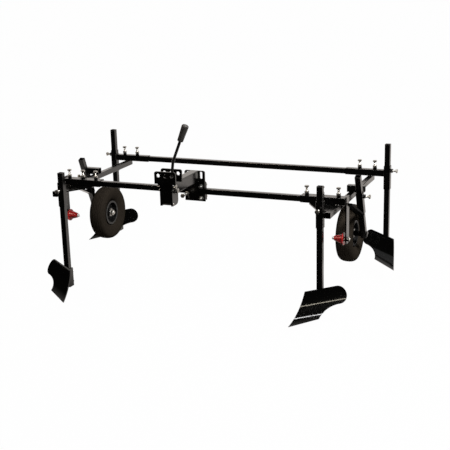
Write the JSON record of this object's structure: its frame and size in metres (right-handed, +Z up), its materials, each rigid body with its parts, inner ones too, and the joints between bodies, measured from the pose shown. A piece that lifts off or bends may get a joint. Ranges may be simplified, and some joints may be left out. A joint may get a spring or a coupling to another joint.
{
  "type": "mulch film layer",
  "caption": "Towed mulch film layer: tube frame with sliding side carriages, height-set ridging ploughs, inclined wheel arms, film roll cones and a front hitch head with a lock lever.",
  "frame": {"origin": "middle hole of the front hole plate, on the plate's front face", "axes": "+X to the right seen from the hitch end looking at the machine as in the picture, +Y rearward, +Z up"},
  "size_m": [1.5948, 0.9224, 0.8228],
  "materials": {
    "black_paint": "gloss",
    "zinc": "zinc plated",
    "tyre": "matte",
    "cone_red": "gloss",
    "grip": "matte"
  },
  "bodies": {
    "frame": {"front_bar": "black_paint", "rear_bar": "black_paint", "hitch_front_plate": "black_paint", "hitch_rear_plate": "black_paint", "hitch_clamp_bolts": "zinc", "hitch_beam": "black_paint", "hitch_channel": "black_paint", "front_hole_plate": "black_paint", "rear_hole_plate": "black_paint", "hitch_bolts": "zinc", "lever_pin": "black_paint"},
    "lever": {"lever_rod": "black_paint", "lever_grip": "grip"},
    "right_carriage": {"right_side_bar": "black_paint", "right_front_sleeve": "black_paint", "right_rear_sleeve": "black_paint", "right_front_post_sleeve": "black_paint", "right_rear_post_sleeve": "black_paint", "right_corner_gusset": "black_paint", "right_wheel_holder": "black_paint", "right_cone_arm": "black_paint", "right_wheel_stay": "black_paint", "right_clamp_bolts": "zinc", "right_cone_spindle": "zinc"},
    "right_arm": {"right_wheel_arm": "black_paint", "right_wheel_axle": "zinc"},
    "right_wheel": {"right_tyre": "tyre", "right_rim": "black_paint", "right_wheel_bearings": "zinc"},
    "right_cone": {"right_film_cone": "cone_red"},
    "left_carriage": {"left_side_bar": "black_paint", "left_front_sleeve": "black_paint", "left_rear_sleeve": "black_paint", "left_front_post_sleeve": "black_paint", "left_rear_post_sleeve": "black_paint", "left_corner_gusset": "black_paint", "left_wheel_holder": "black_paint", "left_cone_arm": "black_paint", "left_wheel_stay": "black_paint", "left_clamp_bolts": "zinc", "left_cone_spindle": "zinc"},
    "left_arm": {"left_wheel_arm": "black_paint", "left_wheel_axle": "zinc"},
    "left_wheel": {"left_tyre": "tyre", "left_rim": "black_paint", "left_wheel_bearings": "zinc"},
    "left_cone": {"left_film_cone": "cone_red"},
    "front_left_post_set": {"front_left_post": "black_paint", "front_left_plough": "black_paint", "front_left_plough_bolts": "zinc"},
    "front_right_post_set": {"front_right_post": "black_paint", "front_right_plough": "black_paint", "front_right_plough_bolts": "zinc"},
    "rear_left_post_set": {"rear_left_post": "black_paint", "rear_left_plough": "black_paint", "rear_left_plough_bolts": "zinc"},
    "rear_right_post_set": {"rear_right_post": "black_paint", "rear_right_plough": "black_paint", "rear_right_plough_bolts": "zinc"}
  },
  "joints": [
    {"name": "lever_swing", "type": "hinge", "parent": "frame", "child": "lever", "pos_m": [0.014, 0.0335, -0.017], "axis": [0, 1, 0], "range_deg": [-60, 0]},
    {"name": "right_carriage_slide", "type": "slide", "parent": "frame", "child": "right_carriage", "axis": [1, 0, 0], "range_m": [-0.008, 0.075]},
    {"name": "right_arm_slide", "type": "slide", "parent": "right_carriage", "child": "right_arm", "axis": [0, 0.3681, -0.9298], "range_m": [-0.04, 0.07]},
    {"name": "right_wheel_spin", "type": "hinge", "parent": "right_arm", "child": "right_wheel", "pos_m": [0.619, 0.59623, -0.35203], "axis": [1, 0, 0], "continuous": true},
    {"name": "right_cone_spin", "type": "hinge", "parent": "right_carriage", "child": "right_cone", "pos_m": [0.64, 0.323, -0.299], "axis": [1, 0, 0], "continuous": true},
    {"name": "left_carriage_slide", "type": "slide", "parent": "frame", "child": "left_carriage", "axis": [-1, 0, 0], "range_m": [-0.008, 0.075]},
    {"name": "left_arm_slide", "type": "slide", "parent": "left_carriage", "child": "left_arm", "axis": [0, 0.3681, -0.9298], "range_m": [-0.04, 0.07]},
    {"name": "left_wheel_spin", "type": "hinge", "parent": "left_arm", "child": "left_wheel", "pos_m": [-0.619, 0.59623, -0.35203], "axis": [1, 0, 0], "continuous": true},
    {"name": "left_cone_spin", "type": "hinge", "parent": "left_carriage", "child": "left_cone", "pos_m": [-0.64, 0.323, -0.299], "axis": [1, 0, 0], "continuous": true},
    {"name": "front_left_post_slide", "type": "slide", "parent": "left_carriage", "child": "front_left_post_set", "axis": [0, 0, 1], "range_m": [-0.03, 0.18]},
    {"name": "front_right_post_slide", "type": "slide", "parent": "right_carriage", "child": "front_right_post_set", "axis": [0, 0, 1], "range_m": [-0.03, 0.18]},
    {"name": "rear_left_post_slide", "type": "slide", "parent": "left_carriage", "child": "rear_left_post_set", "axis": [0, 0, 1], "range_m": [-0.085, 0.12]},
    {"name": "rear_right_post_slide", "type": "slide", "parent": "right_carriage", "child": "rear_right_post_set", "axis": [0, 0, 1], "range_m": [-0.085, 0.12]}
  ]
}
